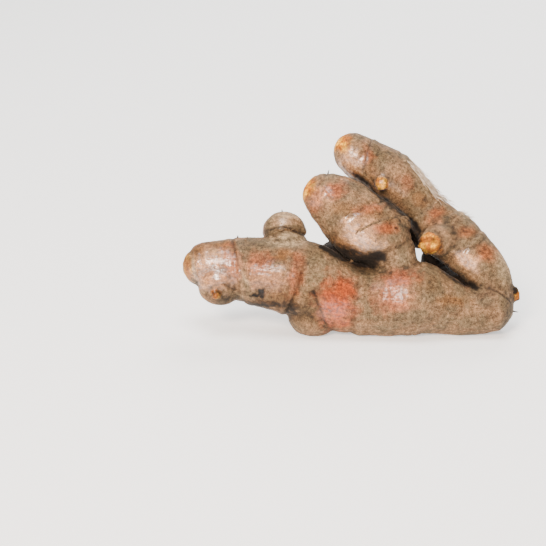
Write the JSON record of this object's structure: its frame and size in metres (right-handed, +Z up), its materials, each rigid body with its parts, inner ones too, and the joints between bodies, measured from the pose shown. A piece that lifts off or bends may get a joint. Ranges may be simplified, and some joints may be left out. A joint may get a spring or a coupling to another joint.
{
  "type": "turmeric root",
  "caption": "Fresh branched turmeric rhizome lying on a surface, with ringed fingers, a capped stub and small pointed buds.",
  "frame": {"origin": "on the table, under the middle of the rhizome's box", "axes": "+X along the main stem from the left arm's tip to the right end, +Y to the back, +Z up"},
  "size_m": [0.1126, 0.0453, 0.0621],
  "materials": {
    "turmeric_skin": "fresh brown skin with leaf scars, faintly waxy where it is smooth"
  },
  "bodies": {
    "root": {"rhizome": "turmeric_skin"}
  },
  "joints": []
}
